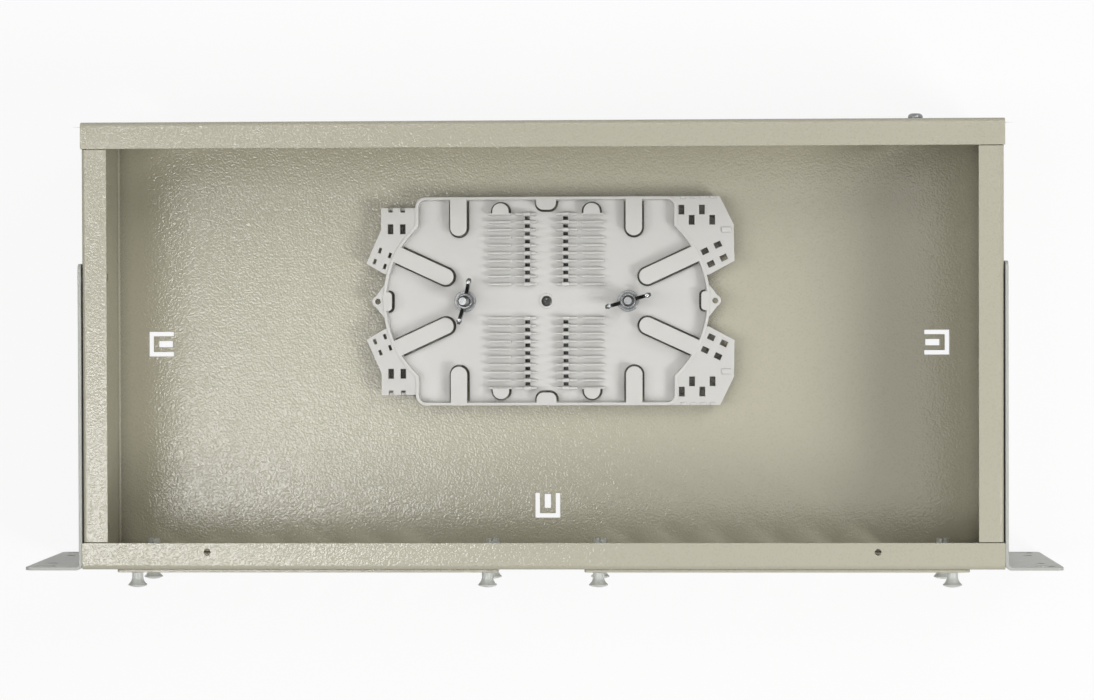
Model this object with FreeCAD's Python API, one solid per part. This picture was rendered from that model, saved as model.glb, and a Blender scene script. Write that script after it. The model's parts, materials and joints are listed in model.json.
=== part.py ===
import FreeCAD, Part
import math
import os

from FreeCAD import Placement, Rotation, Vector

# Rack-mount fibre distribution box with its cover off, in millimetres.
# X runs to the right seen from above, Y to the rear, Z up. The origin is the centre of the base's underside.

# Enclosure, a folded channel between a folded front panel and rear panel
BODY_WIDTH = 428.6
BODY_DEPTH = 208.5
BODY_HEIGHT = 88.0
SHEET = 1.2
BEND_RADIUS = 1.0
END_FLANGE = 12.5
SIDE_FLANGE = 12.2
FLANGE_SEAM = 0.3
PANEL_OVERHANG = 0.45
COVER_HOLE_RADIUS = 1.5
COVER_HOLE_INSET = 8.2
COVER_HOLE_SIDE_INSET = 58.6

# Tie lances pressed out of the base
LANCE_SIZE = 12.2
LANCE_SLOT = 2.2
LANCE_BAR = 2.6
LANCE_EYE_LENGTH = 6.9
LANCE_EYE_WIDTH = 3.1
SIDE_LANCE_INSET = 23.0
FRONT_LANCE_INSET = 24.2

# Cable entries in the rear wall
ENTRY_RADIUS = 10.25
ENTRY_SIDE_INSET = 39.0
ENTRY_HEIGHT = 26.0

# Rack ears
EAR_SHEET = 1.5
EAR_BEND_RADIUS = 1.5
EAR_LENGTH = 143.0
EAR_REACH = 27.0
EAR_PROUD = 0.3
EAR_SHY = 0.2
EAR_CORNER = 3.0
SLOT_TIP_INSET = 8.75
SLOT_EDGE_INSET = 5.9
SLOT_LENGTH = 10.0
SLOT_RADIUS = 3.4
INNER_HOLE_STEP = 15.9
INNER_HOLE_RADIUS = 2.5

# Machine screws of the ears and the earth point
SCREW_RADIUS = 2.0
SCREW_CLEARANCE = 0.1
SCREW_HEAD_RADIUS = 3.5
SCREW_HEAD_HEIGHT = 2.6
SCREW_HEAD_FLAT = 2.2
SCREW_HEAD_RIM = 0.9
RECESS_WIDTH = 0.9
RECESS_LENGTH = 3.6
RECESS_DEPTH = 1.4
EAR_SCREW_FRONT_INSET = 17.0
EAR_SCREW_REAR_INSET = 6.0
EAR_SCREW_TAIL = 2.6
EARTH_SIDE_INSET = 39.2
EARTH_TOP_INSET = 22.0
EARTH_TAIL = 1.6
EARTH_WASHER_RADIUS = 4.5
EARTH_WASHER_SHEET = 0.8
EARTH_NUT_FLATS = 7.0
EARTH_NUT_HEIGHT = 3.2

# Adapter plates, two rows of two
PLATE_SHEET = 1.5
PLATE_GAP = 40.0
PLATE_SIDE_INSET = 16.0
ROW_EDGE = 3.0
ROW_GAP = 6.0
PLATE_CORNER = 1.2
CUTOUT_WIDTH = 9.8
CUTOUT_HEIGHT = 26.6
CUTOUT_PITCH = 24.0
WINDOW_SIDE_INSET = 14.0
WINDOW_ROW_INSET = 4.0

# Push-pull plungers and their grommets
PLUNGER_INSET = 6.2
PIN_RADIUS = 1.9
PIN_CLEARANCE = 0.08
PIN_TIP_SHY = 1.0
STEM_RADIUS = 2.65
STEM_GAP = 0.3
STEM_LENGTH = 2.2
KNOB_RADIUS = 4.5
KNOB_FLARE = 3.5
KNOB_RIM = 0.4
KNOB_DOME = 1.05
COLLAR_RADIUS = 5.1
COLLAR_HEIGHT = 1.2
BARREL_WALL = 1.2
BARREL_REACH = 8.4
BARREL_CLEARANCE = 0.15
BARB_HEIGHT = 0.5
BARB_GAP = 0.2
SLIT_WIDTH = 1.0

# Splice tray, with its own origin at its centre and its underside
TRAY_LENGTH = 160.0
TRAY_WIDTH = 102.0
TRAY_HEIGHT = 8.0
TRAY_FLOOR = 1.5
TRAY_REAR_INSET = 83.55
RIM = 1.4
SHOULDER_INSET = 16.0
SHOULDER_ROUND = 5.2
TONGUE_SHEET = 1.5
TONGUE_GAP = 0.9
TONGUE_WIDTH = 8.0
SIDE_TONGUE_LENGTH = 18.3
SIDE_TONGUE_INSET = 37.1
END_TONGUE_ANGLE = 24.8
END_TONGUE_TIP_INSET = 34.2
END_TONGUE_TIP_Y = 10.4
MIDDLE_TONGUE_WIDTH = 9.7
MIDDLE_TONGUE_LENGTH = 5.6
MIDDLE_TONGUE_CORNER = 3.4
COMB_TONGUE_LENGTH = 5.3
COMB_TONGUE_X = 22.3
LUG_RADIUS = 2.8
LUG_HOLE_RADIUS = 1.4
LUG_OFFSET = 2.5
LUG_WEB_FOOT = 9.0
LUG_WEB_TIP = 2.5
LUG_WEB_REACH = 3.7
LUG_TONGUE_WIDTH = 9.2
LUG_TONGUE_LENGTH = 2.9
LUG_TONGUE_CORNER = 1.8
CENTRE_HOLE_RADIUS = 2.6
CENTRE_BOSS_WALL = 1.0
CENTRE_BOSS_HEIGHT = 0.8

# Splice combs
RIB_PITCH = 3.81
RIB_SHEET = 0.9
RIB_HEIGHT = 4.2
COMB_FIRST_RIB = 8.3
COMB_CHANNEL = 7.0
OUTER_RIB_START = 17.2
OUTER_RIB_LENGTH = 11.4
INNER_RIB_START = 4.8
INNER_RIB_LENGTH = 10.4
HOOK_X = 9.4
HOOK_LENGTH = 3.2
HOOK_SHEET = 1.5
HOOK_RISE = 0.9
HOOK_HOLE_LENGTH = 2.4
HOOK_HOLE_WIDTH = 1.65

# Tie ports at the tray's corners: outlines as steps from the basin's corner, along X and Y
LEFT_PORT = [(-18.0, -5.2), (0.9, -5.2), (0.9, -16.0), (8.2, -32.4), (-0.8, -37.6), (-18.0, -37.6)]
RIGHT_PORT = [(-24.0, 0.0), (4.8, 0.0), (11.6, -13.9), (11.9, -31.7), (-0.4, -38.3), (-24.0, -38.3)]
PORT_WALL = 1.3
PORT_DROP = 0.5
LEFT_HOLES = [(-3.8, -15.6), (-9.8, -15.6)]
LEFT_HOLE_SIZE = (2.7, 4.8)
LEFT_NOTCHES = [-3.8, -9.8]
LEFT_NOTCH_SIZE = (2.2, 2.2)
LEFT_SMALL_HOLES = [(1.4, -26.0), (4.0, -31.4), (-3.4, -28.4), (-0.9, -33.8)]
LEFT_SMALL_HOLE_SIZE = (1.4, 2.6)
LEFT_SMALL_HOLE_TILT = -20.0
RIGHT_HOLES = [(-13.9, -6.6), (-3.9, -6.6), (-8.9, -11.6), (1.1, -11.6)]
RIGHT_HOLE_SIZE = (2.8, 4.7)
RIGHT_TILTED_HOLES = [(-2.5, -26.9), (3.8, -23.8), (0.5, -33.1), (6.7, -30.1)]
RIGHT_TILTED_HOLE_SIZE = (3.5, 2.8)
RIGHT_HOLE_TILT = 25.0
RIGHT_TEETH = [-13.0, -8.2, -3.4, 1.4]
RIGHT_TOOTH_SIZE = (2.6, 1.2)
RIGHT_CLIP = (8.1, -16.4)
RIGHT_CLIP_SIZE = (4.8, 2.4)
PORT_RELIEF = 0.9

# Tray studs, spacers, washers and wing nuts
STUD_SPACING = 80.0
STUD_RADIUS = 2.5
STUD_HEIGHT = 28.3
STUD_CHAMFER = 0.65
SPACER_WALL = 2.2
SPACER_HEIGHT = 5.0
STUD_CLEARANCE = 0.25
WASHER_WALL = 2.45
WASHER_SHEET = 1.0
THREAD_CLEARANCE = 0.05
NUT_WALL = 1.45
NUT_TAPER = 0.45
NUT_HUB_HEIGHT = 6.5
NUT_HEIGHT = 12.0
NUT_SPAN = 22.4
WING_SHEET = 1.9
WING_ROOT_LOW = 1.6
WING_ROOT_HIGH = 6.2
WING_TIP_RISE = 2.6
WING_LOWER_BOW = 1.4
WING_TIP_BOW = 1.0
WING_UPPER_DIP = 1.0
WING_BEAD_RADIUS = 1.3
WING_BEAD_LENGTH = 3.8
LEFT_NUT_ANGLE = 76.2
RIGHT_NUT_ANGLE = 15.8

# Shared construction values
SIDES = (-1, 1)
SKIN = 1.0
X_AXIS = Vector(1, 0, 0)
Y_AXIS = Vector(0, 1, 0)
Z_AXIS = Vector(0, 0, 1)
ORIGIN = Vector(0, 0, 0)

# Places worked out from the sizes above
SIDE_FACE = BODY_WIDTH / 2
CHANNEL_FACE = SIDE_FACE - PANEL_OVERHANG
FRONT_FACE = -BODY_DEPTH / 2
REAR_FACE = BODY_DEPTH / 2
MOUTH_X = SIDE_FACE - SIDE_FLANGE
MOUTH_Y = REAR_FACE - END_FLANGE
PLATE_WIDTH = SIDE_FACE - PLATE_SIDE_INSET - PLATE_GAP / 2
PLATE_HEIGHT = (BODY_HEIGHT - 2 * ROW_EDGE - ROW_GAP) / 2
PLATE_CENTRE = PLATE_GAP / 2 + PLATE_WIDTH / 2
PLATE_FACE = FRONT_FACE - PLATE_SHEET
ROWS = {"lower": ROW_EDGE + PLATE_HEIGHT / 2, "upper": BODY_HEIGHT - ROW_EDGE - PLATE_HEIGHT / 2}
PLUNGER_STEP = PLATE_WIDTH / 2 - PLUNGER_INSET
PLUNGER_XS = [side * PLATE_CENTRE + end * PLUNGER_STEP for side in SIDES for end in SIDES]
GROMMET_BORE = PIN_RADIUS + PIN_CLEARANCE
BARREL_RADIUS = GROMMET_BORE + BARREL_WALL
PLUNGER_HOLE = BARREL_RADIUS + BARREL_CLEARANCE
EAR_FRONT = FRONT_FACE - EAR_PROUD
EAR_SCREW_YS = [EAR_FRONT + EAR_SCREW_FRONT_INSET, EAR_FRONT + EAR_LENGTH - EAR_SCREW_REAR_INSET]
EAR_SPARE_Y = sum(EAR_SCREW_YS) / 2
SCREW_HOLE = SCREW_RADIUS + SCREW_CLEARANCE
MID_HEIGHT = BODY_HEIGHT / 2
EARTH_X = SIDE_FACE - EARTH_SIDE_INSET
EARTH_Z = BODY_HEIGHT - EARTH_TOP_INSET
TRAY_Y = REAR_FACE - TRAY_REAR_INSET
TRAY_Z = SHEET + SPACER_HEIGHT
PORT_TOP = TRAY_HEIGHT - PORT_DROP
STUD_HOLE = STUD_RADIUS + STUD_CLEARANCE
NUT_Z = TRAY_Z + TRAY_FLOOR + WASHER_SHEET


def box(x_span, y_span, z_span):
    """Block between two values on each axis."""
    size = [high - low for low, high in (x_span, y_span, z_span)]
    return Part.makeBox(*size, Vector(x_span[0], y_span[0], z_span[0]))


def centred_box(centre, size, z_span, tilt=0.0):
    """Block of a given size about a point in plan, turned about Z."""
    block = box((-size[0] / 2, size[0] / 2), (-size[1] / 2, size[1] / 2), z_span)
    block.Placement = Placement(Vector(centre[0], centre[1], 0), Rotation(Z_AXIS, tilt))
    return block


def prism(edges, z_span):
    """Solid raised from a closed outline of edges, drawn at level zero."""
    face = Part.Face(Part.Wire(edges))
    face.translate(Vector(0, 0, z_span[0]))
    return face.extrude(Vector(0, 0, z_span[1] - z_span[0]))


def polygon(points):
    """Straight edges round a list of plan points."""
    corners = [Vector(x, y, 0) for x, y in points]
    return [Part.makeLine(start, end) for start, end in zip(corners, corners[1:] + corners[:1])]


def revolved(edges):
    """Solid turned about Z from an outline in the XZ plane."""
    return Part.Face(Part.Wire(edges)).revolve(ORIGIN, Z_AXIS, 360)


def profile_line(start, end):
    """Straight edge of a turned outline, given as radius and height."""
    return Part.makeLine(Vector(start[0], 0, start[1]), Vector(end[0], 0, end[1]))


def profile_arc(start, middle, end):
    """Round edge of a turned outline through three points."""
    points = [Vector(radius, 0, height) for radius, height in (start, middle, end)]
    return Part.Arc(*points).toShape()


def profile(points):
    """Straight edges round a list of radius and height points."""
    return [profile_line(start, end) for start, end in zip(points, points[1:] + points[:1])]


def profile_cap(radius, foot, rise):
    """Round edge of a spherical cap, from its foot circle to its top."""
    sphere = (radius ** 2 + rise ** 2) / (2 * rise)
    half_angle = math.acos(1 - rise / sphere) / 2
    top = foot + rise
    middle = (sphere * math.sin(half_angle), top - sphere * (1 - math.cos(half_angle)))
    return profile_arc((radius, foot), middle, (0, top))


def profile_flare(start, end):
    """Round edge that leaves its start straight up and turns in or out to its end."""
    spread = abs(end[0] - start[0])
    rise = end[1] - start[1]
    bend = (spread ** 2 + rise ** 2) / (2 * spread)
    half_angle = math.atan2(rise, bend - spread) / 2
    step = math.copysign(bend * (1 - math.cos(half_angle)), end[0] - start[0])
    return profile_arc(start, (start[0] + step, start[1] + bend * math.sin(half_angle)), end)


def profile_bow(start, end, bow):
    """Round edge that bows to the right of its run by a given amount."""
    run = (end[0] - start[0], end[1] - start[1])
    lean = bow / math.hypot(*run)
    middle = ((start[0] + end[0]) / 2 + lean * run[1], (start[1] + end[1]) / 2 - lean * run[0])
    return profile_arc(start, middle, end)


def tube(outer, inner, height):
    """Plain ring that stands on level zero."""
    return revolved(profile([(inner, 0), (outer, 0), (outer, height), (inner, height)]))


def placed(shape, place, axis=Z_AXIS, angle=0.0):
    """Copy of a shape, turned and then moved."""
    copy = shape.copy()
    copy.Placement = Placement(place, Rotation(axis, angle))
    return copy


def facing_front(shape, place):
    """Copy of a shape whose Z axis is turned to the front."""
    return placed(shape, place, X_AXIS, 90)


def facing_rear(shape, place):
    """Copy of a shape whose Z axis is turned to the rear."""
    return placed(shape, place, X_AXIS, -90)


def mirrored(shape, normal):
    """Copy of a shape mirrored in a plane through the origin."""
    return shape.mirror(ORIGIN, normal)


def folded_sleeve(half_width, y_span, z_span, radius):
    """Block whose four edges along Y are rounded as folds."""
    block = box((-half_width, half_width), y_span, z_span)
    folds = [edge for edge in block.Edges if edge.BoundBox.YLength > edge.Length / 2]
    return block.makeFillet(radius, folds)


def folded_step(half_width, y_span, z_span, radius):
    """Block whose upper front edge is rounded as a fold."""
    block = box((-half_width, half_width), y_span, z_span)
    corner = Part.Vertex(0, y_span[0], z_span[1])
    fold = [edge for edge in block.Edges if edge.distToShape(corner)[0] < radius / 2]
    return block.makeFillet(radius, fold)


def tie_lance(place, turn):
    """Cut of one tie lance, whose closed side faces +X before it is turned."""
    half = LANCE_SIZE / 2
    depth = (-SKIN, SHEET + SKIN)
    closed = box((half - LANCE_SLOT, half), (-half, half), depth)
    arms = [box((-half, half), (low, low + LANCE_SLOT), depth) for low in (-half, half - LANCE_SLOT)]
    eye_end = half - LANCE_SLOT - LANCE_BAR
    eye = box((eye_end - LANCE_EYE_LENGTH, eye_end), (-LANCE_EYE_WIDTH / 2, LANCE_EYE_WIDTH / 2), depth)
    return placed(closed.fuse(arms + [eye]), place, Z_AXIS, turn)


def channel():
    """Base and side walls with their top flanges, folded from one sheet, with screw holes and tie lances."""
    ends = (FRONT_FACE + SHEET, REAR_FACE - SHEET)
    clear = (ends[0] - SKIN, ends[1] + SKIN)
    outer = folded_sleeve(CHANNEL_FACE, ends, (0, BODY_HEIGHT), SHEET + BEND_RADIUS)
    inner = folded_sleeve(CHANNEL_FACE - SHEET, clear, (SHEET, BODY_HEIGHT - SHEET), BEND_RADIUS)
    cuts = [box((-MOUTH_X, MOUTH_X), clear, (BODY_HEIGHT - SHEET - SKIN, BODY_HEIGHT + SKIN))]
    reliefs = ((MOUTH_Y - FLANGE_SEAM, SHEET), (ends[1] - BEND_RADIUS, SHEET + BEND_RADIUS))
    for start, drop in reliefs:
        for y_span in ((clear[0], -start), (start, clear[1])):
            cuts.append(box((-SIDE_FACE, SIDE_FACE), y_span, (BODY_HEIGHT - drop, BODY_HEIGHT + SKIN)))
    for side in SIDES:
        wall = Vector(side * (CHANNEL_FACE - SHEET - SKIN), 0, MID_HEIGHT)
        for y in EAR_SCREW_YS + [EAR_SPARE_Y]:
            place = wall + Vector(0, y, 0)
            cuts.append(Part.makeCylinder(SCREW_HOLE, SHEET + 2 * SKIN, place, side * X_AXIS))
        lance = Vector(side * (SIDE_FACE - SIDE_LANCE_INSET), 0, 0)
        cuts.append(tie_lance(lance, 0 if side > 0 else 180))
    cuts.append(tie_lance(Vector(0, FRONT_FACE + FRONT_LANCE_INSET, 0), -90))
    return outer.cut(inner).cut(cuts)


def panel():
    """Plain front panel: a wall with an inward flange at its top."""
    outer = folded_step(SIDE_FACE, (FRONT_FACE, -MOUTH_Y), (0, BODY_HEIGHT), SHEET + BEND_RADIUS)
    hollow = (FRONT_FACE + SHEET, SKIN - MOUTH_Y)
    return outer.cut(folded_step(SIDE_FACE + SKIN, hollow, (-SKIN, BODY_HEIGHT - SHEET), BEND_RADIUS))


def front_panel():
    """Front panel with its adapter windows, plunger holes and cover screw holes."""
    wall_y = (FRONT_FACE - SKIN, FRONT_FACE + SHEET + SKIN)
    depth = wall_y[1] - wall_y[0]
    half_window = PLATE_WIDTH / 2 - WINDOW_SIDE_INSET
    half_row = PLATE_HEIGHT / 2 - WINDOW_ROW_INSET
    cuts = []
    for z in ROWS.values():
        for side in SIDES:
            window_x = (side * PLATE_CENTRE - half_window, side * PLATE_CENTRE + half_window)
            cuts.append(box(window_x, wall_y, (z - half_row, z + half_row)))
        cuts += [Part.makeCylinder(PLUNGER_HOLE, depth, Vector(x, wall_y[0], z), Y_AXIS) for x in PLUNGER_XS]
    for side in SIDES:
        hole_x = side * (SIDE_FACE - COVER_HOLE_SIDE_INSET)
        hole = Vector(hole_x, FRONT_FACE + COVER_HOLE_INSET, BODY_HEIGHT - SHEET - SKIN)
        cuts.append(Part.makeCylinder(COVER_HOLE_RADIUS, SHEET + 2 * SKIN, hole))
    return panel().cut(cuts)


def rear_panel():
    """Rear panel with its two cable entries and the earth screw's hole."""
    back = REAR_FACE - SHEET - SKIN
    depth = SHEET + 2 * SKIN
    entry_x = SIDE_FACE - ENTRY_SIDE_INSET
    cuts = [Part.makeCylinder(ENTRY_RADIUS, depth, Vector(side * entry_x, back, ENTRY_HEIGHT), Y_AXIS)
            for side in SIDES]
    cuts.append(Part.makeCylinder(SCREW_HOLE, depth, Vector(EARTH_X, back, EARTH_Z), Y_AXIS))
    return mirrored(panel(), Y_AXIS).cut(cuts)


def right_ear():
    """Folded rack ear on the right side wall."""
    leg_face = SIDE_FACE + EAR_SHEET
    tip = SIDE_FACE + EAR_REACH
    rear = EAR_FRONT + EAR_LENGTH
    inside = EAR_FRONT + EAR_SHEET
    z_span = (EAR_SHY, BODY_HEIGHT - EAR_SHY)
    plan = [(SIDE_FACE, EAR_FRONT), (tip, EAR_FRONT), (tip, inside), (leg_face, inside), (leg_face, rear),
            (SIDE_FACE, rear)]
    ear = prism(polygon(plan), z_span)
    for corner, radius in (((SIDE_FACE, EAR_FRONT), EAR_SHEET + EAR_BEND_RADIUS),
                           ((leg_face, inside), EAR_BEND_RADIUS)):
        fold = Part.Vertex(corner[0], corner[1], MID_HEIGHT)
        ear = ear.makeFillet(radius, [edge for edge in ear.Edges if edge.distToShape(fold)[0] < EAR_SHY])
    level = [edge for edge in ear.Edges if edge.BoundBox.ZLength < EAR_SHY]
    ends = [edge for edge in level
            if edge.BoundBox.XMin > tip - EAR_SHY or edge.BoundBox.YMin > rear - EAR_SHY]
    ear = ear.makeFillet(EAR_CORNER, ends)
    slot_x = tip - SLOT_TIP_INSET
    depth = EAR_SHEET + 2 * SKIN
    cuts = []
    for edge_z, up in ((0, 1), (BODY_HEIGHT, -1)):
        slot_z = edge_z + up * SLOT_EDGE_INSET
        half_run = SLOT_LENGTH / 2 - SLOT_RADIUS
        rounds = [Vector(slot_x + side * half_run, EAR_FRONT - SKIN, slot_z) for side in SIDES]
        cuts += [Part.makeCylinder(SLOT_RADIUS, depth, place, Y_AXIS) for place in rounds]
        cuts.append(box((slot_x - half_run, slot_x + half_run), (EAR_FRONT - SKIN, EAR_FRONT - SKIN + depth),
                        (slot_z - SLOT_RADIUS, slot_z + SLOT_RADIUS)))
        hole = Vector(slot_x, EAR_FRONT - SKIN, slot_z + up * INNER_HOLE_STEP)
        cuts.append(Part.makeCylinder(INNER_HOLE_RADIUS, depth, hole, Y_AXIS))
    for y in EAR_SCREW_YS:
        hole = Vector(SIDE_FACE - SKIN, y, MID_HEIGHT)
        cuts.append(Part.makeCylinder(SCREW_HOLE, depth, hole, X_AXIS))
    return ear.cut(cuts)


def pan_screw(grip):
    """Cross-recessed pan-head screw, with its head above level zero and its shank below."""
    rim = (SCREW_HEAD_RADIUS, SCREW_HEAD_RIM)
    flat = (SCREW_HEAD_FLAT, SCREW_HEAD_HEIGHT)
    outline = [profile_line((0, -grip), (SCREW_RADIUS, -grip)),
               profile_line((SCREW_RADIUS, -grip), (SCREW_RADIUS, 0)),
               profile_line((SCREW_RADIUS, 0), (SCREW_HEAD_RADIUS, 0)),
               profile_line((SCREW_HEAD_RADIUS, 0), rim),
               profile_flare(rim, flat),
               profile_line(flat, (0, SCREW_HEAD_HEIGHT)),
               profile_line((0, SCREW_HEAD_HEIGHT), (0, -grip))]
    recess_z = (SCREW_HEAD_HEIGHT - RECESS_DEPTH, SCREW_HEAD_HEIGHT + SKIN)
    recess = [centred_box((0, 0), (RECESS_LENGTH, RECESS_WIDTH), recess_z, turn) for turn in (0, 90)]
    return revolved(outline).cut(recess)


def right_ear_screws():
    """The two screws that hold the right ear."""
    screw = pan_screw(EAR_SHEET + PANEL_OVERHANG + SHEET + EAR_SCREW_TAIL)
    heads = [Vector(SIDE_FACE + EAR_SHEET, y, MID_HEIGHT) for y in EAR_SCREW_YS]
    return Part.makeCompound([placed(screw, head, Y_AXIS, 90) for head in heads])


def earth_point():
    """Earth screw, its washer outside and its nut inside the rear wall."""
    screw = pan_screw(EARTH_WASHER_SHEET + SHEET + EARTH_NUT_HEIGHT + EARTH_TAIL)
    washer = tube(EARTH_WASHER_RADIUS, SCREW_HOLE, EARTH_WASHER_SHEET)
    corner = EARTH_NUT_FLATS / math.sqrt(3)
    turns = [i * math.pi / 3 for i in range(6)]
    hexagon = polygon([(corner * math.cos(turn), corner * math.sin(turn)) for turn in turns])
    nut = prism(hexagon, (0, EARTH_NUT_HEIGHT)).cut(Part.makeCylinder(SCREW_HOLE, EARTH_NUT_HEIGHT))
    wall = Vector(EARTH_X, REAR_FACE, EARTH_Z)
    return {"earth_screw": facing_rear(screw, wall + EARTH_WASHER_SHEET * Y_AXIS),
            "earth_washer": facing_rear(washer, wall),
            "earth_nut": facing_front(nut, wall - SHEET * Y_AXIS)}


def adapter_plate():
    """Plate with a row of adapter cut-outs, drawn about its centre with its back at level zero."""
    half_width = PLATE_WIDTH / 2
    half_height = PLATE_HEIGHT / 2
    plate = box((-half_width, half_width), (-half_height, half_height), (0, PLATE_SHEET))
    corners = [edge for edge in plate.Edges if edge.BoundBox.ZLength > PLATE_SHEET / 2]
    plate = plate.makeChamfer(PLATE_CORNER, corners)
    depth = (-SKIN, PLATE_SHEET + SKIN)
    room = PLATE_WIDTH - 2 * WINDOW_SIDE_INSET
    count = int(room // CUTOUT_PITCH)
    cuts = [centred_box(((i - (count - 1) / 2) * CUTOUT_PITCH, 0), (CUTOUT_WIDTH, CUTOUT_HEIGHT), depth)
            for i in range(count)]
    for end in SIDES:
        hole = Vector(end * PLUNGER_STEP, 0, depth[0])
        cuts.append(Part.makeCylinder(PLUNGER_HOLE, depth[1] - depth[0], hole))
    return plate.cut(cuts)


def grommet():
    """Split grommet: collar above level zero, barrel with a barbed and slit end below."""
    wall_back = -(PLATE_SHEET + SHEET)
    end = wall_back - BARREL_REACH
    barb = BARREL_RADIUS + BARB_HEIGHT
    barb_top = wall_back - BARB_GAP
    outline = profile([(GROMMET_BORE, end), (BARREL_RADIUS, end), (barb, barb_top), (BARREL_RADIUS, barb_top),
                       (BARREL_RADIUS, 0), (COLLAR_RADIUS, 0), (COLLAR_RADIUS, COLLAR_HEIGHT / 2),
                       (COLLAR_RADIUS - COLLAR_HEIGHT / 2, COLLAR_HEIGHT), (GROMMET_BORE, COLLAR_HEIGHT)])
    slit = (2 * barb + SKIN, SLIT_WIDTH)
    slits = [centred_box((0, 0), slit, (end - SKIN, wall_back), turn) for turn in (0, 90)]
    return revolved(outline).cut(slits)


def plunger():
    """Plunger whose pin fills the grommet's bore and whose trumpet knob stands above the collar."""
    pin_end = -(PLATE_SHEET + SHEET + BARREL_REACH) + PIN_TIP_SHY
    stem_foot = COLLAR_HEIGHT + STEM_GAP
    flare_foot = stem_foot + STEM_LENGTH
    rim = flare_foot + KNOB_FLARE
    rim_top = rim + KNOB_RIM
    taper = PIN_RADIUS - PIN_TIP_SHY / 2
    outline = [profile_line((0, pin_end), (taper, pin_end)),
               profile_line((taper, pin_end), (PIN_RADIUS, pin_end + PIN_TIP_SHY)),
               profile_line((PIN_RADIUS, pin_end + PIN_TIP_SHY), (PIN_RADIUS, stem_foot)),
               profile_line((PIN_RADIUS, stem_foot), (STEM_RADIUS, stem_foot)),
               profile_line((STEM_RADIUS, stem_foot), (STEM_RADIUS, flare_foot)),
               profile_flare((STEM_RADIUS, flare_foot), (KNOB_RADIUS, rim)),
               profile_line((KNOB_RADIUS, rim), (KNOB_RADIUS, rim_top)),
               profile_cap(KNOB_RADIUS, rim_top, KNOB_DOME),
               profile_line((0, rim_top + KNOB_DOME), (0, pin_end))]
    return revolved(outline)


def basin(inset, z_span):
    """Prism of the tray's plan: straight long sides, rounded shoulders and round ends."""
    half_length = TRAY_LENGTH / 2 - inset
    half_width = TRAY_WIDTH / 2 - inset
    shoulder = TRAY_LENGTH / 2 - SHOULDER_INSET - inset
    corner = SHOULDER_ROUND - inset
    round_x = shoulder - corner
    round_y = half_width - corner
    arc_foot = math.sqrt(half_width ** 2 - (shoulder - half_length + half_width) ** 2)
    bulge = corner * math.sqrt(0.5)
    right = [Vector(round_x, half_width), Vector(round_x + bulge, round_y + bulge), Vector(shoulder, round_y),
             Vector(shoulder, arc_foot), Vector(half_length, 0)]
    right += [Vector(point.x, -point.y) for point in reversed(right[:-1])]
    left = [Vector(-point.x, -point.y) for point in right]
    edges = []
    for run in (right, left):
        edges += [Part.Arc(*run[i:i + 3]).toShape() for i in (0, 3, 6)]
        edges += [Part.makeLine(run[i], run[i + 1]) for i in (2, 5)]
    edges += [Part.makeLine(right[-1], left[0]), Part.makeLine(left[-1], right[0])]
    return prism(Part.__sortEdges__(edges), z_span)


def tongue(tip, angle, length, width, z_span, grow=0.0, corner=None):
    """Strip with a rounded tip that runs from its tip back along an angle."""
    half = width / 2 + grow
    radius = half if corner is None else corner + grow
    strip = box((radius - grow, length), (-half, half), z_span)
    rounds = [Vector(radius - grow, side * (half - radius), z_span[0]) for side in SIDES]
    rounded = [Part.makeCylinder(radius, z_span[1] - z_span[0], place) for place in rounds]
    if half > radius:
        rounded.append(box((-grow, length), (radius - half, half - radius), z_span))
    whole = strip.fuse(rounded).common(box((-grow, length), (-half, half), z_span))
    return placed(whole, Vector(tip[0], tip[1], 0), Z_AXIS, angle)


def tongues():
    """Plan data of the tongues on the tray's upper half: tip, angle, length, width and corner."""
    half_length = TRAY_LENGTH / 2
    reach = TRAY_WIDTH / 2 - RIM / 2
    rows = []
    for side in SIDES:
        side_x = side * (half_length - SIDE_TONGUE_INSET)
        rows.append(((side_x, reach - SIDE_TONGUE_LENGTH), 90, SIDE_TONGUE_LENGTH, TONGUE_WIDTH, None))
        tip = (side * (half_length - END_TONGUE_TIP_INSET), END_TONGUE_TIP_Y)
        angle = END_TONGUE_ANGLE if side > 0 else 180 - END_TONGUE_ANGLE
        rows.append((tip, angle, half_length, TONGUE_WIDTH, None))
    middle_tip = (0, reach - MIDDLE_TONGUE_LENGTH)
    rows.append((middle_tip, 90, MIDDLE_TONGUE_LENGTH, MIDDLE_TONGUE_WIDTH, MIDDLE_TONGUE_CORNER))
    return rows


def comb_rows():
    """Places of the splice ribs along Y, from the middle to the channel by the long side."""
    room = TRAY_WIDTH / 2 - RIM - COMB_CHANNEL - COMB_FIRST_RIB
    return [COMB_FIRST_RIB + i * RIB_PITCH for i in range(int(room // RIB_PITCH) + 1)]


def comb_tongue_rows(last_rib):
    """Plan data of the short tongues on the last ribs, which point at the long side."""
    tip_y = last_rib + COMB_TONGUE_LENGTH
    return [((side * COMB_TONGUE_X, tip_y), -90, COMB_TONGUE_LENGTH, TONGUE_WIDTH, None) for side in SIDES]


def comb():
    """Ribs and hooks of the upper splice comb."""
    foot = TRAY_FLOOR / 2
    rib_top = TRAY_FLOOR + RIB_HEIGHT
    rows = comb_rows()
    solids = []
    for y in rows:
        outer_top = TRAY_HEIGHT - TONGUE_SHEET / 2 if y == rows[-1] else rib_top
        for side in SIDES:
            for start, length, top in ((OUTER_RIB_START, OUTER_RIB_LENGTH, outer_top),
                                       (INNER_RIB_START, INNER_RIB_LENGTH, rib_top)):
                centre = side * (start + length / 2)
                solids.append(centred_box((centre, y), (length, RIB_SHEET), (foot, top)))
            hook = (HOOK_LENGTH, HOOK_SHEET)
            solids.append(centred_box((side * HOOK_X, y), hook, (foot, rib_top + HOOK_RISE)))
    return solids


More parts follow.
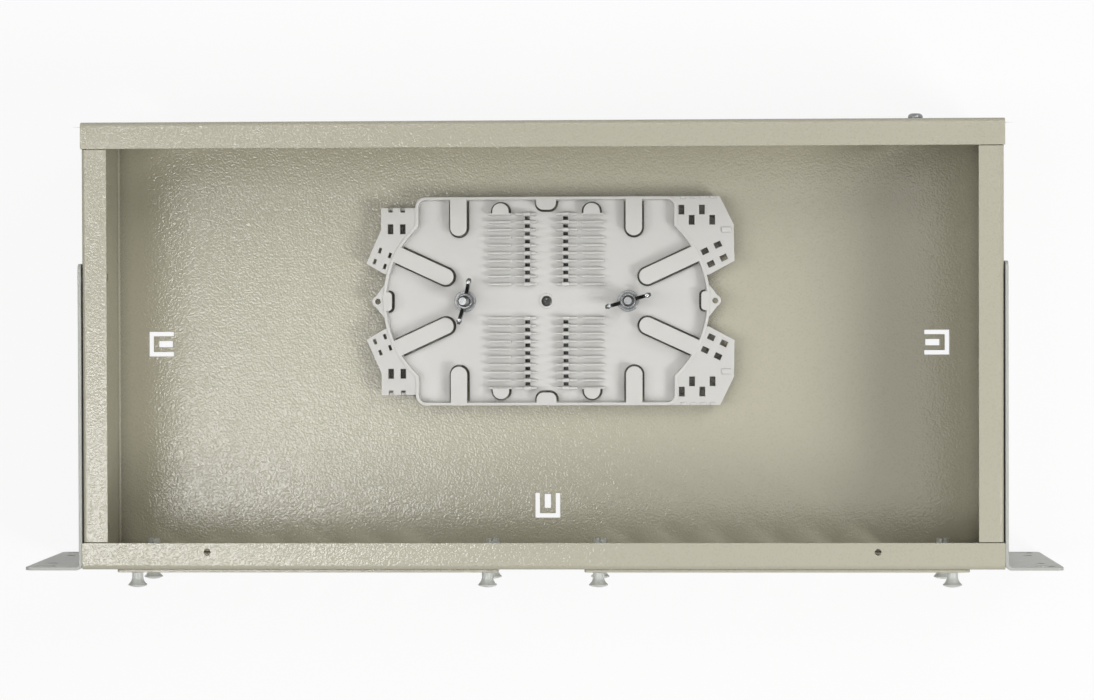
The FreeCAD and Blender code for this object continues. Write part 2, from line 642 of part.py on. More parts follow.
def comb_holes():
    """Square holes between the hooks of the upper comb."""
    rows = comb_rows()
    size = (HOOK_HOLE_LENGTH, HOOK_HOLE_WIDTH)
    middles = [(low + high) / 2 for low, high in zip(rows, rows[1:])]
    places = [(side * HOOK_X, y) for y in middles for side in SIDES]
    return [centred_box(place, size, (-SKIN, TRAY_FLOOR + SKIN)) for place in places]


def port(outline, side):
    """Hollow tie port at one upper corner, open underneath."""
    corner = Vector(side * TRAY_LENGTH / 2, TRAY_WIDTH / 2)
    points = [(corner.x + side * x, corner.y + y) for x, y in outline]
    face = Part.Face(Part.Wire(polygon(points)))
    block = face.extrude(Vector(0, 0, PORT_TOP))
    hollow = face.makeOffset2D(-PORT_WALL).extrude(Vector(0, 0, PORT_TOP - TRAY_FLOOR))
    return block.cut(hollow).cut(basin(RIM / 2, (-SKIN, TRAY_HEIGHT + SKIN)))


def corner_boxes(side, steps, size, z_span, tilt=0.0):
    """Blocks at steps from one upper corner of the basin."""
    places = [(side * (TRAY_LENGTH / 2 + x), TRAY_WIDTH / 2 + y) for x, y in steps]
    return [centred_box(place, size, z_span, tilt) for place in places]


def port_cuts():
    """Tie holes and notches of the two upper ports."""
    through = (-SKIN, TRAY_HEIGHT + SKIN)
    cuts = corner_boxes(-1, LEFT_HOLES, LEFT_HOLE_SIZE, through)
    cuts += corner_boxes(-1, LEFT_SMALL_HOLES, LEFT_SMALL_HOLE_SIZE, through, LEFT_SMALL_HOLE_TILT)
    notch_y = LEFT_PORT[0][1] - LEFT_NOTCH_SIZE[1] / 2
    notch_size = (LEFT_NOTCH_SIZE[0], LEFT_NOTCH_SIZE[1] + SKIN)
    notches = [(x, notch_y + SKIN / 2) for x in LEFT_NOTCHES]
    cuts += corner_boxes(-1, notches, notch_size, (PORT_TOP - 2 * TRAY_FLOOR, TRAY_HEIGHT + SKIN))
    cuts += corner_boxes(1, RIGHT_HOLES, RIGHT_HOLE_SIZE, through)
    cuts += corner_boxes(1, RIGHT_TILTED_HOLES, RIGHT_TILTED_HOLE_SIZE, through, RIGHT_HOLE_TILT)
    return cuts


def port_trim():
    """Raised teeth along the right port's long edge, and its clip."""
    raised = (PORT_TOP - TRAY_FLOOR / 2, PORT_TOP + PORT_RELIEF)
    tooth_y = RIGHT_PORT[0][1] - RIGHT_TOOTH_SIZE[1] / 2
    teeth = corner_boxes(1, [(x, tooth_y) for x in RIGHT_TEETH], RIGHT_TOOTH_SIZE, raised)
    return teeth + corner_boxes(1, [RIGHT_CLIP], RIGHT_CLIP_SIZE, raised)


def lug_web(side):
    """Tapered web that carries one end lug."""
    foot = side * (TRAY_LENGTH / 2 - RIM)
    end = side * (TRAY_LENGTH / 2 + LUG_WEB_REACH)
    plan = [(foot, LUG_WEB_FOOT), (end, LUG_WEB_TIP), (end, -LUG_WEB_TIP), (foot, -LUG_WEB_FOOT)]
    return prism(polygon(plan), (0, PORT_TOP))


def splice_tray():
    """Moulded tray: rim, tongues over floor cut-outs, combs, tie ports and end lugs."""
    raised = (TRAY_HEIGHT - TONGUE_SHEET, TRAY_HEIGHT)
    below = (-SKIN, TRAY_FLOOR + SKIN)
    half_length = TRAY_LENGTH / 2
    floor_area = basin(RIM + TONGUE_GAP / 2, below)
    shell = basin(0, (0, TRAY_HEIGHT)).cut(basin(RIM, (TRAY_FLOOR, TRAY_HEIGHT + SKIN)))
    strips = tongues()
    comb_strips = comb_tongue_rows(comb_rows()[-1])
    upper = comb() + port_trim() + [port(LEFT_PORT, -1), port(RIGHT_PORT, 1)]
    inside = basin(RIM / 2, raised)
    rim_core = basin(RIM / 2, (-SKIN, TRAY_HEIGHT + SKIN))
    for tip, angle, length, width, corner in strips + comb_strips:
        upper.append(tongue(tip, angle, length, width, raised, 0, corner).common(inside))
    upper_cuts = comb_holes() + port_cuts()
    for tip, angle, length, width, corner in strips:
        upper_cuts.append(tongue(tip, angle, length, width, below, TONGUE_GAP, corner).common(floor_area))
    for tip, angle, length, width, corner in comb_strips:
        shorter = length - RIB_SHEET / 2
        upper_cuts.append(tongue(tip, angle, shorter, width, below, TONGUE_GAP, corner))
    solids = upper + [mirrored(solid, Y_AXIS) for solid in upper]
    cuts = upper_cuts + [mirrored(cut, Y_AXIS) for cut in upper_cuts]
    for side in SIDES:
        lug = Vector(side * (half_length + LUG_OFFSET), 0, 0)
        solids.append(Part.makeCylinder(LUG_RADIUS, PORT_TOP, lug).fuse(lug_web(side)).cut(rim_core))
        cuts.append(Part.makeCylinder(LUG_HOLE_RADIUS, PORT_TOP, lug))
        lug_strip = ((side * (half_length - RIM - LUG_TONGUE_LENGTH), 0), 0 if side > 0 else 180,
                     LUG_TONGUE_LENGTH + RIM, LUG_TONGUE_WIDTH)
        solids.append(tongue(*lug_strip, raised, 0, LUG_TONGUE_CORNER).common(inside))
        cuts.append(tongue(*lug_strip, below, TONGUE_GAP, LUG_TONGUE_CORNER).common(floor_area))
        cuts.append(Part.makeCylinder(STUD_HOLE, TRAY_FLOOR, Vector(side * STUD_SPACING / 2, 0, 0)))
    boss = CENTRE_HOLE_RADIUS + CENTRE_BOSS_WALL
    solids.append(Part.makeCylinder(boss, TRAY_FLOOR + CENTRE_BOSS_HEIGHT))
    cuts.append(Part.makeCylinder(CENTRE_HOLE_RADIUS, TRAY_FLOOR + CENTRE_BOSS_HEIGHT))
    return placed(shell.fuse(solids).cut(cuts).removeSplitter(), Vector(0, TRAY_Y, TRAY_Z))


def wing_nut():
    """Wing nut that stands on level zero, with its wings along X."""
    bore = STUD_RADIUS + THREAD_CLEARANCE
    foot = bore + NUT_WALL
    root = foot - NUT_TAPER
    hub = revolved(profile([(bore, 0), (foot, 0), (root, NUT_HUB_HEIGHT), (bore, NUT_HUB_HEIGHT)]))
    tip = NUT_SPAN / 2
    low_root = (root, WING_ROOT_LOW)
    low_tip = (tip, NUT_HEIGHT - WING_TIP_RISE)
    top_tip = (tip - 2 * WING_BEAD_RADIUS, NUT_HEIGHT)
    top_root = (root, WING_ROOT_HIGH)
    outline = [profile_bow(low_root, low_tip, WING_LOWER_BOW),
               profile_bow(low_tip, top_tip, WING_TIP_BOW),
               profile_bow(top_tip, top_root, -WING_UPPER_DIP),
               profile_line(top_root, (bore, WING_ROOT_HIGH)),
               profile_line((bore, WING_ROOT_HIGH), (bore, WING_ROOT_LOW)),
               profile_line((bore, WING_ROOT_LOW), low_root)]
    face = Part.Face(Part.Wire(outline))
    face.translate(Vector(0, -WING_SHEET / 2, 0))
    bead_foot = NUT_HEIGHT - WING_BEAD_LENGTH
    bead_rim = NUT_HEIGHT - WING_BEAD_RADIUS
    bead = revolved([profile_line((0, bead_foot), (WING_BEAD_RADIUS, bead_foot)),
                     profile_line((WING_BEAD_RADIUS, bead_foot), (WING_BEAD_RADIUS, bead_rim)),
                     profile_cap(WING_BEAD_RADIUS, bead_rim, WING_BEAD_RADIUS),
                     profile_line((0, NUT_HEIGHT), (0, bead_foot))])
    wing = face.extrude(Vector(0, WING_SHEET, 0)).fuse(placed(bead, Vector(tip - WING_BEAD_RADIUS, 0, 0)))
    clear = Part.makeCylinder(bore, NUT_HEIGHT)
    return hub.fuse([wing, placed(wing, ORIGIN, Z_AXIS, 180)]).cut(clear)


def tray_stack():
    """Stud, spacer, washer and wing nut at each of the tray's two fixings."""
    stud = Part.makeCylinder(STUD_RADIUS, STUD_HEIGHT)
    top_edge = [edge for edge in stud.Edges if edge.BoundBox.ZMin > STUD_HEIGHT / 2]
    stud = stud.makeChamfer(STUD_CHAMFER, top_edge)
    spacer = tube(STUD_HOLE + SPACER_WALL, STUD_HOLE, SPACER_HEIGHT)
    washer = tube(STUD_HOLE + WASHER_WALL, STUD_HOLE, WASHER_SHEET)
    nut = wing_nut()
    nodes = {}
    for side, name, angle in ((-1, "left", LEFT_NUT_ANGLE), (1, "right", RIGHT_NUT_ANGLE)):
        foot = Vector(side * STUD_SPACING / 2, TRAY_Y, SHEET)
        nodes[name + "_tray_stud"] = placed(stud, foot)
        nodes[name + "_tray_spacer"] = placed(spacer, foot)
        nodes[name + "_tray_washer"] = placed(washer, Vector(foot.x, foot.y, NUT_Z - WASHER_SHEET))
        nodes[name + "_wing_nut"] = placed(nut, Vector(foot.x, foot.y, NUT_Z), Z_AXIS, angle)
    return nodes


def adapter_row():
    """Adapter plates on the front panel, with their grommets and plungers."""
    plate = adapter_plate()
    ring = grommet()
    pin = plunger()
    nodes = {}
    for row, z in ROWS.items():
        for side, name in ((-1, "left"), (1, "right")):
            place = Vector(side * PLATE_CENTRE, FRONT_FACE, z)
            nodes[f"{row}_{name}_plate"] = facing_front(plate, place)
        for number, x in enumerate(PLUNGER_XS, 1):
            place = Vector(x, PLATE_FACE, z)
            nodes[f"{row}_grommet_{number}"] = facing_front(ring, place)
            nodes[f"{row}_plunger_{number}"] = facing_front(pin, place)
    return nodes


def box_parts():
    """Every piece of the distribution box by name."""
    ear = right_ear()
    screws = right_ear_screws()
    nodes = {"body_channel": channel(), "front_panel": front_panel(), "rear_panel": rear_panel(),
             "left_ear": mirrored(ear, X_AXIS), "right_ear": ear,
             "left_ear_screws": mirrored(screws, X_AXIS), "right_ear_screws": screws,
             "splice_tray": splice_tray()}
    nodes.update(earth_point())
    nodes.update(adapter_row())
    nodes.update(tray_stack())
    return nodes


os.makedirs("parts", exist_ok=True)
for node, shape in box_parts().items():
    shape.exportStep(os.path.join("parts", node + ".step"))
    state = "valid" if shape.isValid() else "INVALID"
    print(node, len(shape.Solids), "solid", round(shape.Volume, 2), "mm3", state)
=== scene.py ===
import json
import math

import bmesh
import bpy
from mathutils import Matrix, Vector


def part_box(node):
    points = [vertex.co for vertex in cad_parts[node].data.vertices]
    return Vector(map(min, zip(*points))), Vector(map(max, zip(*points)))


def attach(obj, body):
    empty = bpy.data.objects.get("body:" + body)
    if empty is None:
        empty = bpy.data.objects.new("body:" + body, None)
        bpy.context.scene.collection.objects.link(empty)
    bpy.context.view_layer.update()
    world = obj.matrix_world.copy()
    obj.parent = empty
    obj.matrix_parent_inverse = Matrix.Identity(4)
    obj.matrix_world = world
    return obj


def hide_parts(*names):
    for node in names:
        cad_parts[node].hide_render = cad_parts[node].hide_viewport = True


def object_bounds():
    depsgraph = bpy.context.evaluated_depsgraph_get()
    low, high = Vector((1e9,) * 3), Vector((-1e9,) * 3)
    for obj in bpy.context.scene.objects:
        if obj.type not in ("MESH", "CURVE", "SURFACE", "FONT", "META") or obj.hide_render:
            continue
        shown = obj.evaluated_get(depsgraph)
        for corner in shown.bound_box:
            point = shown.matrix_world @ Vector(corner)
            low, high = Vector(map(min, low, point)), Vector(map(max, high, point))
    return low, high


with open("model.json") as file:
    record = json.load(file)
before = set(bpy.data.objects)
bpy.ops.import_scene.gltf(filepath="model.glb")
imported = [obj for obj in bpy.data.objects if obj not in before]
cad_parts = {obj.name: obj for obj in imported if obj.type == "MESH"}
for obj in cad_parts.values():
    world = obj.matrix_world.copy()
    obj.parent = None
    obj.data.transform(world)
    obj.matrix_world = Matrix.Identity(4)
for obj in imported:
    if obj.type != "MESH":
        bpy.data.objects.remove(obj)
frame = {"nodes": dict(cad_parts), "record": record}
cad_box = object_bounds()

# Fibre distribution box seen from above, in metres and in the frame of the solids
MM = 0.001
WHITE = (1.0, 1.0, 1.0, 1.0)

# Camera, with its turn in degrees
CAMERA_PLACE = (0.05210, 0.01457, 1.42027)
CAMERA_TURN = (-0.7307, 2.1068, -0.1751)
CAMERA_LENS = 94.734

# Floor and light, with the lamps' power in watts
FLOOR_DROP = 0.6 * MM
FLOOR_HALF = 4.0
FLOOR_GLOW = 0.88
FLOOR_COLOUR = (0.9, 0.9, 0.9, 1.0)
AMBIENT = 0.07
LAMP_TARGET = (0.0, 0.0, 0.0)
LAMPS = {
    "overhead_softbox": {"place": (0.1, -0.25, 1.9), "size": (1.3, 1.0), "power": 3.0},
    "left_softbox": {"place": (-0.9, 0.0, 1.4), "size": (0.6, 0.8), "power": 4.9},
    "front_right_softbox": {"place": (0.95, -0.5, 1.2), "size": (0.5, 0.5), "power": 10.0},
    "rear_right_softbox": {"place": (0.9, 0.8, 1.3), "size": (0.6, 0.6), "power": 5.0},
    "rear_softbox": {"place": (0.1, 0.7, 1.8), "size": (1.0, 0.3), "power": 3.0},
    "near_left_lamp": {"place": (-0.42, -0.18, 1.5), "size": (0.22, 0.45), "power": 2.5},
    "rear_left_lamp": {"place": (-0.40, 0.33, 1.5), "size": (0.12, 0.14), "power": 0.6},
}

# Lumps of the hammered coat, the slow waves under them, and the shade painted into the hollows between them,
# as the levels at which that shade starts and is full and its tint
LUMP_SIZE = 0.85 * MM
LUMP_DEPTH = 0.115 * MM
WAVE_RATIO = 0.23
WAVE_SHARE = 0.5
WAVE_DETAIL = 1.0
HOLLOW_START = 0.42
HOLLOW_FULL = 0.3
HOLLOW_PAINTED_SHADE = (0.95, 0.948, 0.943, 1.0)

# What the drift of a tone and the fine grain are mixed from
NOISE_MIDDLE = 0.5
SOFT_DETAIL = 2.0
DRIFT_SHARE = 0.65
MOTTLE_SHARE = 0.35
MOTTLE_FINENESS = 9.0
GRAIN_DETAIL = 3.0
GRAIN_ROUGHNESS = 0.6
CLOUD_RATIO = 0.08

# Finishes: the shader's fixed values, the tone and its drift, the grain and its depth, and the recess shade,
# a shade painted into the colour where the surface is shut in, which gives how far a finish looks for what
# shuts it in, the open share at which it counts as shut and as open, and what is left of its colour where it
# is shut in
RECESS_RAYS = 4
COAT = {
    "shader": {"IOR": 1.5},
    "drift": {"Colour": (0.49, 0.466, 0.361, 1.0), "Scale": 14.0, "Amount": 0.06},
    "grain": {"Grain Size": 0.5 * MM, "Roughness": 0.1, "Spread": 0.04},
    # Painted shade where the coat is shut in, such as under the tray and in deep corners
    "recess": {"reach": 16.0 * MM, "shut": 0.25, "open": 0.5, "least": 0.06},
}
EAR_PAINT = {
    "shader": {"IOR": 1.5},
    "drift": {"Colour": (0.47, 0.475, 0.44, 1.0), "Scale": 25.0, "Amount": 0.12},
    "grain": {"Grain Size": 0.6 * MM, "Roughness": 0.42, "Spread": 0.15},
    "grain_depth": 0.02 * MM,
}
MOULDING = {
    "shader": {"IOR": 1.5, "Subsurface Weight": 0.8, "Subsurface Scale": 2.5 * MM,
               "Subsurface Radius": (1.0, 1.0, 1.0)},
    "drift": {"Colour": (0.7, 0.692, 0.668, 1.0), "Scale": 40.0, "Amount": 0.05},
    "grain": {"Grain Size": 0.35 * MM, "Roughness": 0.4, "Spread": 0.12},
    "grain_depth": 0.008 * MM,
    # Painted shade in the tray's narrow slots, gaps and holes
    "recess": {"reach": 2.5 * MM, "shut": 0.1, "open": 0.4, "least": 0.06},
}
NYLON = {
    "shader": {"IOR": 1.53, "Transmission Weight": 0.3},
    "drift": {"Colour": (0.78, 0.8, 0.77, 1.0), "Scale": 120.0, "Amount": 0.08},
    "grain": {"Grain Size": 0.5 * MM, "Roughness": 0.32, "Spread": 0.1},
    "grain_depth": 0.01 * MM,
}
ZINC = {
    "shader": {"Metallic": 1.0},
    "drift": {"Colour": (0.27, 0.275, 0.28, 1.0), "Scale": 260.0, "Amount": 1.6},
    "grain": {"Grain Size": 0.25 * MM, "Roughness": 0.24, "Spread": 0.16},
    "grain_depth": 0.012 * MM,
    # Painted shade in the crevices of the zinc parts, such as where a nut meets its washer
    "recess": {"reach": 2.5 * MM, "shut": 0.35, "open": 0.95, "least": 0.12},
}

# Rounded edges: the width on each finish's pieces, and in degrees the fold above which an edge counts as
# sharp and the fold below which faces count as one
EDGE_ROUND = {"powder_coat": 0.25 * MM, "ear_coat": 0.25 * MM, "white_moulding": 0.12 * MM,
              "nylon": 0.15 * MM, "zinc": 0.2 * MM}
SHARP_ANGLE = 50.0
FLAT_ANGLE = 1.0
MERGE_GAP = 0.001 * MM
ROUND_STEPS = 2
LARGE_FACE_WEIGHT = 100

# Stud threads: crest and root radius, pitch, tip chamfer, and the ridge's levels as shares of the pitch
STUD_CREST = 2.5 * MM
STUD_ROOT = 2.08 * MM
STUD_PITCH = 0.8 * MM
STUD_TIP_CHAMFER = 0.65 * MM
RIDGE_CREST_START = 0.38
RIDGE_CREST_END = 0.5
RIDGE_ROOT_START = 0.88

# Winding of a thread: steps in a turn, turns to spare, and the gaps for merging its points and cutting it
TURN_STEPS = 28
SPARE_TURNS = 2
TURN_MERGE_GAP = STUD_PITCH / 50
CUT_GAP = STUD_PITCH / 200


def name_sockets(tree, rows, side):
    """Adds named sockets to a node group."""
    kinds = {"value": "NodeSocketFloat", "colour": "NodeSocketColor", "place": "NodeSocketVector"}
    for name, kind in rows:
        tree.interface.new_socket(name, in_out=side, socket_type=kinds[kind])


def start_group(name, inputs, outputs):
    """Empty shader node group with its sockets, and its two end nodes."""
    tree = bpy.data.node_groups.new(name, "ShaderNodeTree")
    name_sockets(tree, inputs, "INPUT")
    name_sockets(tree, outputs, "OUTPUT")
    return tree, tree.nodes.new("NodeGroupInput"), tree.nodes.new("NodeGroupOutput")


def add(tree, kind, values=None, **settings):
    """New shader node with its settings and its unlinked values."""
    node = tree.nodes.new("ShaderNode" + kind)
    for name, value in settings.items():
        setattr(node, name, value)
    for name, value in (values or {}).items():
        node.inputs[name].default_value = value
    return node


def maths(tree, operation, first, second):
    """Math node on two sockets or plain numbers."""
    node = add(tree, "Math", operation=operation)
    for socket, value in zip(node.inputs, (first, second)):
        if isinstance(value, (int, float)):
            socket.default_value = value
        else:
            tree.links.new(value, socket)
    return node.outputs[0]


def noise(tree, place, scale, detail, rough=0.5):
    """Value of a noise texture on a place socket and a scale socket."""
    node = add(tree, "TexNoise", {"Detail": detail, "Roughness": rough})
    tree.links.new(place, node.inputs["Vector"])
    tree.links.new(scale, node.inputs["Scale"])
    return node.outputs[0]


def scaled_colour(tree, colour, gain):
    """Colour socket times a value socket."""
    node = add(tree, "VectorMath", operation="SCALE")
    tree.links.new(colour, node.inputs[0])
    tree.links.new(gain, node.inputs["Scale"])
    return node.outputs[0]


def hammered_skin():
    """Lumps that a thick gloss powder coat dries to, as a height and as a mask of the hollows that the coat
    paints shade into.
    """
    tree, ends, out = start_group(
        "hammered_skin", [("Place", "place"), ("Lump Size", "value")],
        [("Height", "value"), ("Hollow", "value")])
    place = ends.outputs["Place"]
    scale = maths(tree, "DIVIDE", 1.0, ends.outputs["Lump Size"])
    lumps = noise(tree, place, scale, 0.0)
    waves = noise(tree, place, maths(tree, "MULTIPLY", scale, WAVE_RATIO), WAVE_DETAIL)
    height = maths(tree, "ADD", lumps, maths(tree, "MULTIPLY", waves, WAVE_SHARE))
    tree.links.new(height, out.inputs["Height"])
    hollow = add(tree, "MapRange", {"From Min": HOLLOW_START, "From Max": HOLLOW_FULL,
                                    "To Min": 0.0, "To Max": 1.0})
    tree.links.new(lumps, hollow.inputs["Value"])
    tree.links.new(hollow.outputs[0], out.inputs["Hollow"])
    return tree


def tone_drift():
    """Slow change of a colour over a surface, with a finer mottle inside it."""
    tree, ends, out = start_group(
        "tone_drift", [("Place", "place"), ("Colour", "colour"), ("Scale", "value"), ("Amount", "value")],
        [("Colour", "colour")])
    place = ends.outputs["Place"]
    scale = ends.outputs["Scale"]
    slow = noise(tree, place, scale, SOFT_DETAIL)
    fine = noise(tree, place, maths(tree, "MULTIPLY", scale, MOTTLE_FINENESS), SOFT_DETAIL)
    mixed = maths(tree, "ADD", maths(tree, "MULTIPLY", slow, DRIFT_SHARE),
                  maths(tree, "MULTIPLY", fine, MOTTLE_SHARE))
    swing = maths(tree, "MULTIPLY", maths(tree, "SUBTRACT", mixed, NOISE_MIDDLE), ends.outputs["Amount"])
    gain = maths(tree, "ADD", swing, 1.0)
    tree.links.new(scaled_colour(tree, ends.outputs["Colour"], gain), out.inputs["Colour"])
    return tree


def fine_grain():
    """Even fine grain of a moulded, painted or plated face, as a height and a roughness."""
    tree, ends, out = start_group(
        "fine_grain",
        [("Place", "place"), ("Grain Size", "value"), ("Roughness", "value"), ("Spread", "value")],
        [("Height", "value"), ("Roughness", "value")])
    place = ends.outputs["Place"]
    scale = maths(tree, "DIVIDE", 1.0, ends.outputs["Grain Size"])
    tree.links.new(noise(tree, place, scale, GRAIN_DETAIL, GRAIN_ROUGHNESS), out.inputs["Height"])
    cloud = noise(tree, place, maths(tree, "MULTIPLY", scale, CLOUD_RATIO), SOFT_DETAIL)
    swing = maths(tree, "MULTIPLY", maths(tree, "SUBTRACT", cloud, NOISE_MIDDLE), ends.outputs["Spread"])
    tree.links.new(maths(tree, "ADD", ends.outputs["Roughness"], swing), out.inputs["Roughness"])
    return tree


GROUPS = {"skin": hammered_skin(), "drift": tone_drift(), "grain": fine_grain()}


def place_group(tree, key, values, place):
    """One of the shared groups, set on a material's place socket."""
    node = tree.nodes.new("ShaderNodeGroup")
    node.node_tree = GROUPS[key]
    tree.links.new(place, node.inputs["Place"])
    for name, value in values.items():
        node.inputs[name].default_value = value
    return node


def start_material(name, shader_values):
    """Material with a Principled shader, its object coordinates and its fixed values."""
    material = bpy.data.materials.new(name)
    material.use_nodes = True
    tree = material.node_tree
    shader = tree.nodes["Principled BSDF"]
    for socket, value in shader_values.items():
        shader.inputs[socket].default_value = value
    return material, tree, shader, add(tree, "TexCoord").outputs["Object"]


def bump(tree, shader, height, distance):
    """Bump node between a height and the shader's normal."""
    node = add(tree, "Bump", {"Strength": 1.0, "Distance": distance})
    tree.links.new(height, node.inputs["Height"])
    tree.links.new(node.outputs["Normal"], shader.inputs["Normal"])


def recess_shade(tree, colour, recess):
    """Colour with shade painted in where the surface is shut in on all sides within a reach."""
    open_sky = add(tree, "AmbientOcclusion", {"Distance": recess["reach"]}, samples=RECESS_RAYS)
    gain = add(tree, "MapRange", {"From Min": recess["shut"], "From Max": recess["open"],
                                  "To Min": recess["least"], "To Max": 1.0})
    tree.links.new(open_sky.outputs["AO"], gain.inputs["Value"])
    return scaled_colour(tree, colour, gain.outputs[0])


def hammered_coat(name, finish):
    """Warm grey gloss powder coat with its lumps, with shade painted into the hollows between them and into
    its recesses.
    """
    material, tree, shader, place = start_material(name, finish["shader"])
    skin = place_group(tree, "skin", {"Lump Size": LUMP_SIZE}, place)
    drift = place_group(tree, "drift", finish["drift"], place)
    grain = place_group(tree, "grain", finish["grain"], place)
    # Painted shade in the hollows between the lumps
    shade = add(tree, "Mix", data_type="RGBA", blend_type="MULTIPLY")
    shade.inputs["B"].default_value = HOLLOW_PAINTED_SHADE
    tree.links.new(skin.outputs["Hollow"], shade.inputs["Factor"])
    tree.links.new(drift.outputs["Colour"], shade.inputs["A"])
    # Painted shade where the coat is shut in, such as under the tray and in deep corners
    tone = recess_shade(tree, shade.outputs["Result"], finish["recess"])
    tree.links.new(tone, shader.inputs["Base Color"])
    tree.links.new(grain.outputs["Roughness"], shader.inputs["Roughness"])
    bump(tree, shader, skin.outputs["Height"], LUMP_DEPTH)
    return material


def grained(name, finish):
    """Material of one drifting colour with an even fine grain, with shade painted into its recesses where it
    has a recess shade.
    """
    material, tree, shader, place = start_material(name, finish["shader"])
    tone = place_group(tree, "drift", finish["drift"], place).outputs["Colour"]
    grain = place_group(tree, "grain", finish["grain"], place)
    if "recess" in finish:
        # Painted shade in the finish's recesses
        tone = recess_shade(tree, tone, finish["recess"])
    tree.links.new(tone, shader.inputs["Base Color"])
    tree.links.new(grain.outputs["Roughness"], shader.inputs["Roughness"])
    bump(tree, shader, grain.outputs["Height"], finish["grain_depth"])
    return material


FINISHES = {
    "powder_coat": hammered_coat("hammered_coat", COAT),
    "ear_coat": grained("ear_paint", EAR_PAINT),
    "white_moulding": grained("white_moulding", MOULDING),
    "nylon": grained("natural_nylon", NYLON),
    "zinc": grained("bright_zinc", ZINC),
}
for row in frame["record"]["subparts"]:
    slots = frame["nodes"][row["node"]].data.materials
    slots.clear()
    slots.append(FINISHES[row["material_slot"]])


def ridge():
    """Radius and level of the points along one turn of a stud's thread, from one root to the next."""
    return [(STUD_ROOT, 0.0),
            (STUD_CREST, RIDGE_CREST_START * STUD_PITCH),
            (STUD_CREST, RIDGE_CREST_END * STUD_PITCH),
            (STUD_ROOT, RIDGE_ROOT_START * STUD_PITCH),
            (STUD_ROOT, STUD_PITCH)]


def threaded_rod(length):
    """Closed threaded rod along Z from level zero, made by winding one ridge up a screw line."""
    bm = bmesh.new()
    verts = [bm.verts.new((radius, 0, level - STUD_PITCH)) for radius, level in ridge()]
    edges = [bm.edges.new(pair) for pair in zip(verts, verts[1:])]
    turns = math.ceil(length / STUD_PITCH) + SPARE_TURNS
    bmesh.ops.spin(bm, geom=verts + edges, cent=(0, 0, 0), axis=(0, 0, 1), angle=turns * 2 * math.pi,
                   steps=turns * TURN_STEPS, dvec=(0, 0, STUD_PITCH / TURN_STEPS), use_merge=False)
    bmesh.ops.remove_doubles(bm, verts=bm.verts, dist=TURN_MERGE_GAP)
    for level, outward in ((0.0, -1), (length, 1)):
        bmesh.ops.bisect_plane(bm, geom=bm.verts[:] + bm.edges[:] + bm.faces[:], plane_co=(0, 0, level),
                               plane_no=(0, 0, outward), clear_outer=True, dist=CUT_GAP)
        rim = [edge for edge in bm.edges if edge.is_boundary
               and all(abs(vert.co.z - level) < TURN_MERGE_GAP for vert in edge.verts)]
        bmesh.ops.holes_fill(bm, edges=rim, sides=0)
    bmesh.ops.recalc_face_normals(bm, faces=bm.faces)
    return bm


def chamfer_tip(bm, length):
    """Draws in the crests near the rod's far end to a lead-in cone."""
    for vert in bm.verts:
        limit = STUD_CREST - STUD_TIP_CHAMFER + (length - vert.co.z)
        radius = math.hypot(vert.co.x, vert.co.y)
        if radius > limit:
            vert.co.x *= limit / radius
            vert.co.y *= limit / radius


def finish_piece(bm, name, slot, body="box"):
    """Mesh object that rides on a body with its slot's finish."""
    mesh = bpy.data.meshes.new(name)
    bm.to_mesh(mesh)
    bm.free()
    mesh.materials.append(FINISHES[slot])
    piece = bpy.data.objects.new(name, mesh)
    bpy.context.scene.collection.objects.link(piece)
    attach(piece, body)
    return piece


def tray_studs():
    """Threaded studs in place of the plain ones."""
    for side in ("left", "right"):
        low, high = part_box(side + "_tray_stud")
        length = high.z - low.z
        bm = threaded_rod(length)
        chamfer_tip(bm, length)
        bmesh.ops.translate(bm, verts=bm.verts, vec=((low.x + high.x) / 2, (low.y + high.y) / 2, low.z))
        piece = finish_piece(bm, side + "_threaded_stud", "zinc")
        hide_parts(side + "_tray_stud")


def rounded_piece(node, slot, body):
    """Copy of a node with its sharp edges rounded, in the node's place."""
    bm = bmesh.new()
    bm.from_mesh(frame["nodes"][node].data)
    bmesh.ops.remove_doubles(bm, verts=bm.verts, dist=MERGE_GAP)
    bmesh.ops.dissolve_limit(bm, angle_limit=math.radians(FLAT_ANGLE), verts=bm.verts, edges=bm.edges)
    sharp = [edge for edge in bm.edges if edge.calc_face_angle(0.0) > math.radians(SHARP_ANGLE)]
    bmesh.ops.bevel(bm, geom=sharp, offset=EDGE_ROUND[slot], offset_type="OFFSET", segments=ROUND_STEPS,
                    profile=0.5, affect="EDGES", clamp_overlap=False, material=-1)
    for face in bm.faces:
        face.smooth = True
    piece = finish_piece(bm, "rounded_" + node, slot, body)
    if "custom_normal" in piece.data.attributes:
        piece.data.attributes.remove(piece.data.attributes["custom_normal"])
    piece.modifiers.new("even_faces", "WEIGHTED_NORMAL").weight = LARGE_FACE_WEIGHT
    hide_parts(node)


def rounded_pieces():
    """Every piece but the threaded studs, on the body that carries it."""
    bodies = frame["record"]["behaviour"]["bodies"]
    carriers = {node: body for body, nodes in bodies.items() for node in nodes}
    for row in frame["record"]["subparts"]:
        node = row["node"]
        if not node.endswith("_tray_stud"):
            rounded_piece(node, row["material_slot"], carriers[node])


def studio_lamps():
    """Softboxes above, behind and on both sides, and two smaller lamps at the left for the coat's lumps."""
    for name, row in LAMPS.items():
        light = bpy.data.lights.new(name, "AREA")
        light.shape = "RECTANGLE"
        light.size, light.size_y = row["size"]
        light.energy = row["power"]
        lamp = bpy.data.objects.new(name, light)
        bpy.context.scene.collection.objects.link(lamp)
        lamp.location = row["place"]
        direction = Vector(LAMP_TARGET) - lamp.location
        lamp.rotation_euler = direction.to_track_quat("-Z", "Y").to_euler()


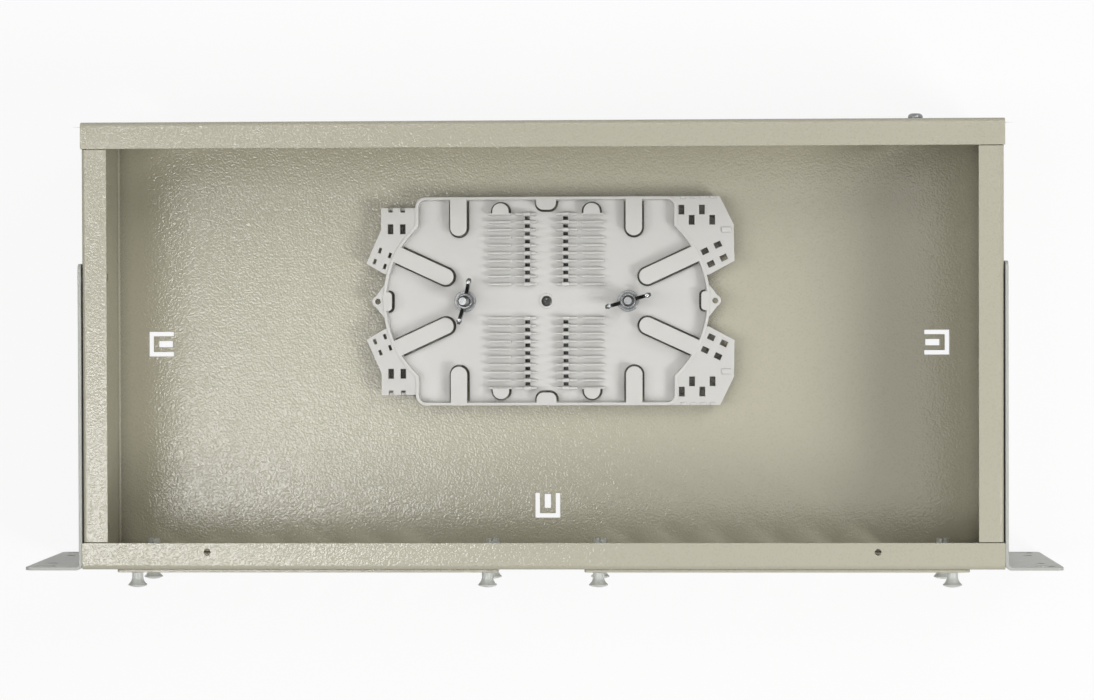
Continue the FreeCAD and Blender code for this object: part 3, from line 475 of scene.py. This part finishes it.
def seen_rays(tree):
    """Factor of one for camera, glossy and transmission rays."""
    path = add(tree, "LightPath")
    seen = maths(tree, "MAXIMUM", path.outputs["Is Camera Ray"], path.outputs["Is Glossy Ray"])
    return maths(tree, "MAXIMUM", seen, path.outputs["Is Transmission Ray"])


def studio_world():
    """Soft ambient light, with a white background where it is seen."""
    world = bpy.data.worlds.new("studio")
    world.use_nodes = True
    tree = world.node_tree
    background = tree.nodes["Background"]
    background.inputs["Color"].default_value = WHITE
    strength = add(tree, "MapRange", {"From Min": 0.0, "From Max": 1.0, "To Min": AMBIENT, "To Max": 1.0})
    tree.links.new(seen_rays(tree), strength.inputs["Value"])
    tree.links.new(strength.outputs[0], background.inputs["Strength"])
    bpy.context.scene.world = world


def floor_finish():
    """White where it is seen, mixed with a pale matt face that keeps a faint shadow."""
    material = bpy.data.materials.new("pale_floor")
    material.use_nodes = True
    tree = material.node_tree
    tree.nodes.clear()
    diffuse = add(tree, "BsdfDiffuse", {"Color": FLOOR_COLOUR})
    glow = add(tree, "Emission", {"Color": WHITE, "Strength": 1.0})
    mixed = add(tree, "MixShader")
    tree.links.new(maths(tree, "MULTIPLY", seen_rays(tree), FLOOR_GLOW), mixed.inputs[0])
    tree.links.new(diffuse.outputs[0], mixed.inputs[1])
    tree.links.new(glow.outputs[0], mixed.inputs[2])
    tree.links.new(mixed.outputs[0], add(tree, "OutputMaterial").inputs["Surface"])
    return material


def pale_floor():
    """Plain floor just under the box."""
    bm = bmesh.new()
    bmesh.ops.create_grid(bm, x_segments=1, y_segments=1, size=FLOOR_HALF)
    bmesh.ops.translate(bm, verts=bm.verts, vec=(0, 0, cad_box[0].z - FLOOR_DROP))
    mesh = bpy.data.meshes.new("floor")
    bm.to_mesh(mesh)
    bm.free()
    mesh.materials.append(floor_finish())
    floor = bpy.data.objects.new("floor", mesh)
    bpy.context.scene.collection.objects.link(floor)


def photo_camera():
    """Camera at the photo's viewing angle."""
    lens = bpy.data.cameras.new("photo_camera")
    lens.lens = CAMERA_LENS
    camera = bpy.data.objects.new("photo_camera", lens)
    bpy.context.scene.collection.objects.link(camera)
    camera.location = CAMERA_PLACE
    camera.rotation_euler = [math.radians(angle) for angle in CAMERA_TURN]
    bpy.context.scene.camera = camera


tray_studs()
rounded_pieces()
studio_lamps()
studio_world()
pale_floor()
photo_camera()
bpy.context.scene.view_settings.view_transform = "Standard"
